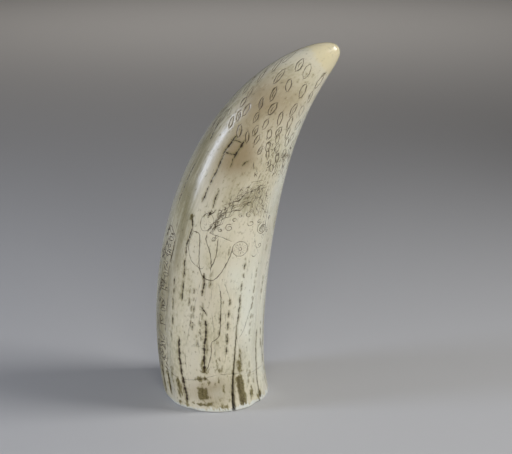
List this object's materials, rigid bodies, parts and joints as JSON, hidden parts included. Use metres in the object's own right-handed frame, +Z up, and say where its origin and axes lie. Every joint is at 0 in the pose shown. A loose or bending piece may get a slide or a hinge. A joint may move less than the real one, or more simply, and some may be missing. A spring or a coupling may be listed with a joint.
{
  "type": "scrimshaw whale tooth",
  "caption": "Curved sperm whale tooth with engraved and inked decoration, standing upright on its flat-cut root; a display ornament.",
  "frame": {"origin": "middle of the tooth's footprint seen from above, on the plane of the cut root that it stands on", "axes": "+Z up from the cut root, +X the way the tooth bends and its tip points, -Y the engraved side"},
  "size_m": [0.0698, 0.0408, 0.14],
  "materials": {
    "tooth_ivory": "hand-polished whale ivory, cream cementum with brown ink in the engraving, dark stained drying cracks and a yellow dentine tip"
  },
  "bodies": {
    "root": {"tooth": "tooth_ivory"}
  },
  "joints": []
}
